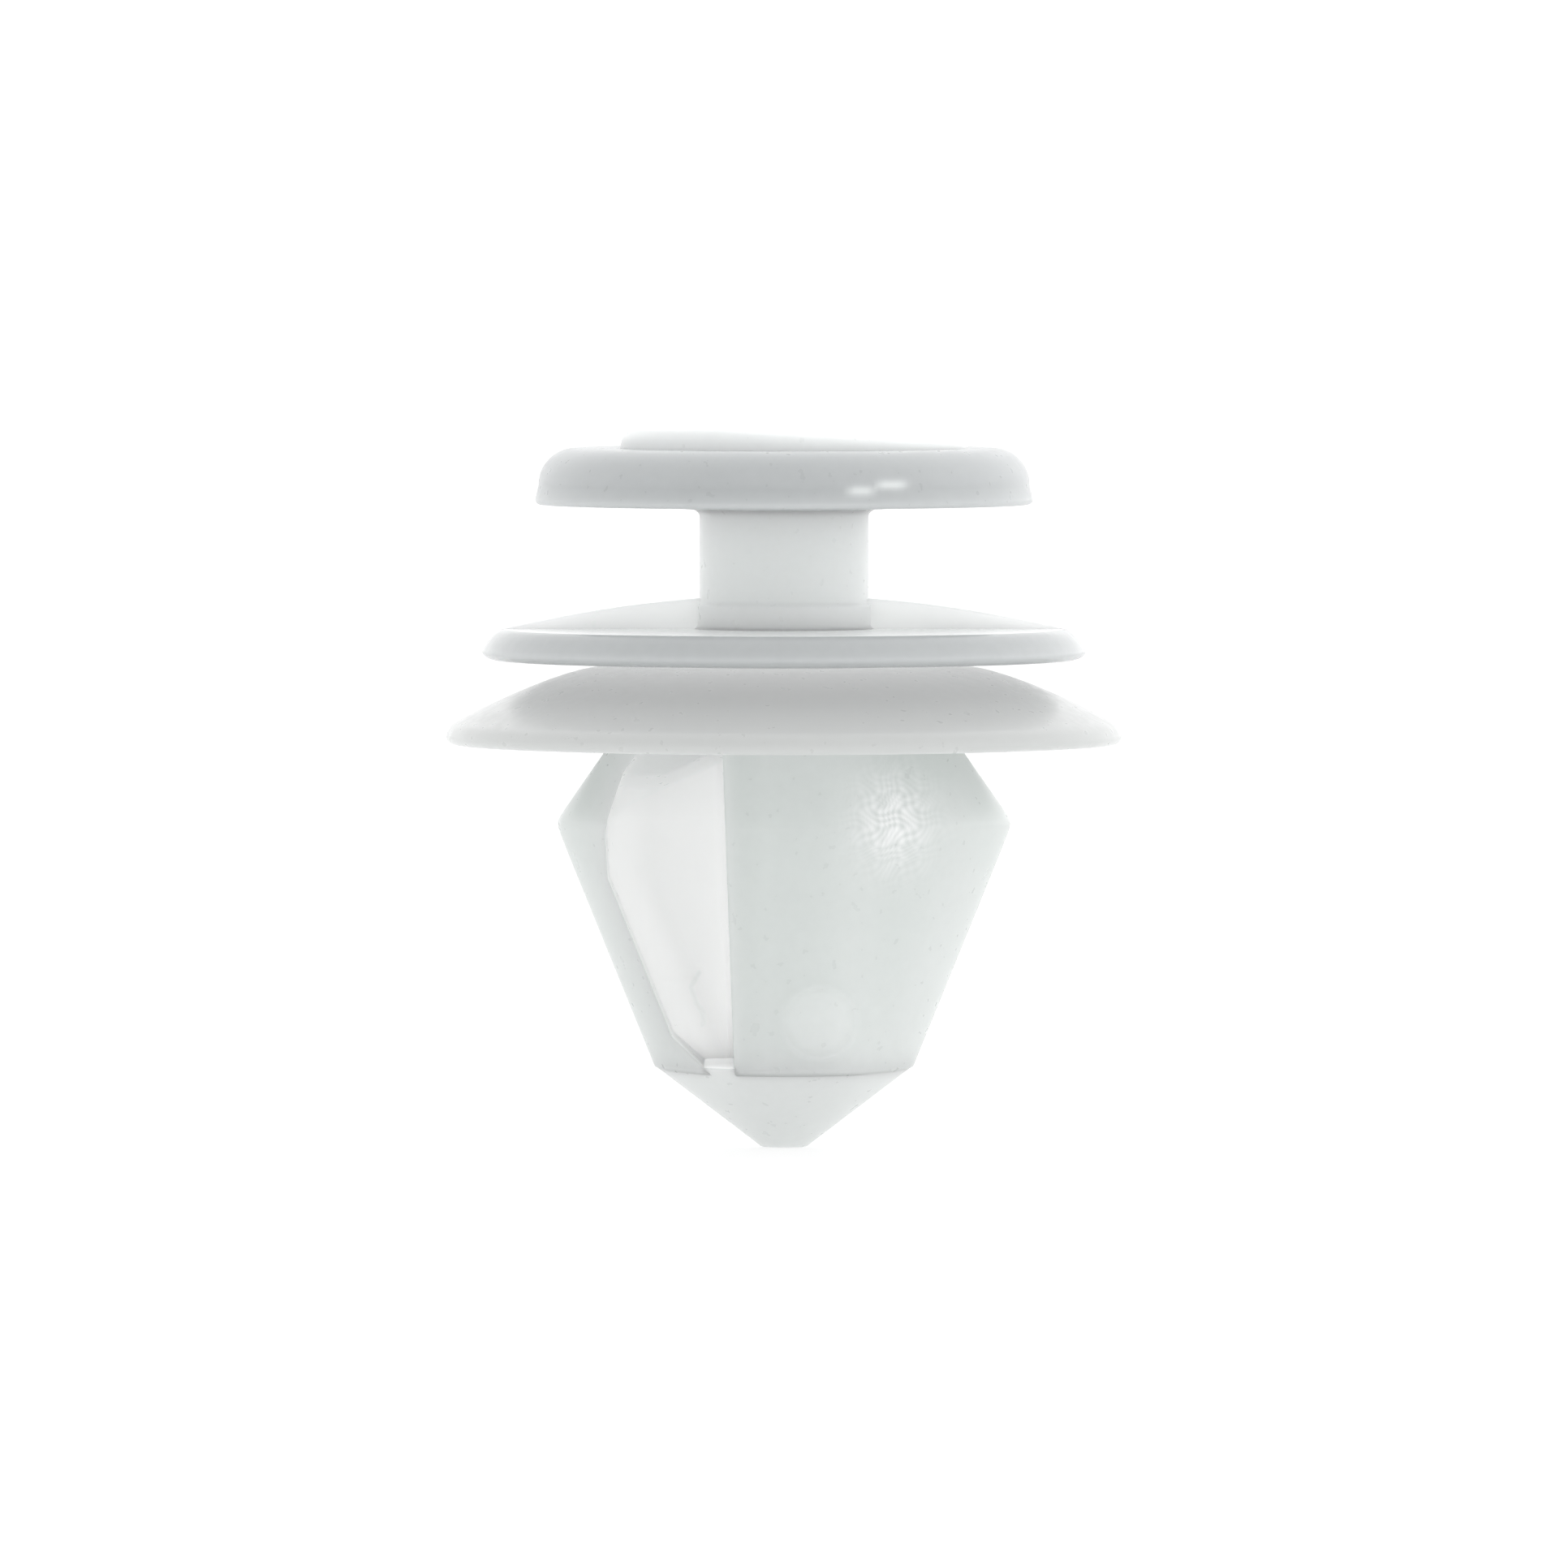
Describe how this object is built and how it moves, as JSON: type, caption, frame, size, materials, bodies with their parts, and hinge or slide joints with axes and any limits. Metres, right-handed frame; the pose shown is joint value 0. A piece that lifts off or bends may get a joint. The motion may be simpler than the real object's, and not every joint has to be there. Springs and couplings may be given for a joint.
{
  "type": "push-in panel clip",
  "caption": "Push-in trim panel clip: round head on a neck, braced flange, umbrella sealing skirt and a barbed anchor with two springy wings and a pointed nose.",
  "frame": {"origin": "on the clip's axis, in the plane of the skirt's lip, which is the outer face of the sheet that the clip snaps into", "axes": "+Z along the clip's axis from the anchor's nose towards the head; the left wing's pocket opens to the front, -Y, and the right wing's to the back"},
  "size_m": [0.0204, 0.0204, 0.0217],
  "materials": {
    "head_disc": "natural translucent polyamide, semi-gloss as moulded",
    "head_ramp": "natural translucent polyamide, semi-gloss as moulded",
    "neck": "natural translucent polyamide, semi-gloss as moulded",
    "upper_flange": "natural translucent polyamide, semi-gloss as moulded",
    "left_gusset": "natural translucent polyamide, semi-gloss as moulded",
    "right_gusset": "natural translucent polyamide, semi-gloss as moulded",
    "stem": "natural translucent polyamide, semi-gloss as moulded",
    "sealing_skirt": "natural translucent polyamide, semi-gloss as moulded",
    "centre_web": "natural translucent polyamide, semi-gloss as moulded",
    "nose": "natural translucent polyamide, semi-gloss as moulded",
    "left_wing": "natural translucent polyamide, semi-gloss as moulded",
    "right_wing": "natural translucent polyamide, semi-gloss as moulded"
  },
  "bodies": {
    "clip_body": {"head_disc": "head_disc", "head_ramp": "head_ramp", "neck": "neck", "upper_flange": "upper_flange", "left_gusset": "left_gusset", "right_gusset": "right_gusset", "stem": "stem", "centre_web": "centre_web", "nose": "nose"},
    "skirt": {"sealing_skirt": "sealing_skirt"},
    "left_wing_body": {"left_wing": "left_wing"},
    "right_wing_body": {"right_wing": "right_wing"}
  },
  "joints": [
    {"name": "left_wing_flex", "type": "hinge", "parent": "clip_body", "child": "left_wing_body", "pos_m": [-0.00196, 0.003, -0.00235], "axis": [0, 0.4067, 0.9135], "range_deg": [0, 18], "stiffness_Nm_per_rad": 0.01},
    {"name": "right_wing_flex", "type": "hinge", "parent": "clip_body", "child": "right_wing_body", "pos_m": [0.00196, -0.003, -0.00235], "axis": [0, -0.4067, 0.9135], "range_deg": [0, 18], "stiffness_Nm_per_rad": 0.01},
    {"name": "skirt_flatten", "type": "slide", "parent": "clip_body", "child": "skirt", "axis": [0, 0, 1], "range_m": [0, 0.0008], "stiffness_N_per_m": 2000, "deforming": ["sealing_skirt"]}
  ],
  "couplings": [
    {"joint": "right_wing_flex", "follows": "left_wing_flex", "ratio": 1}
  ]
}
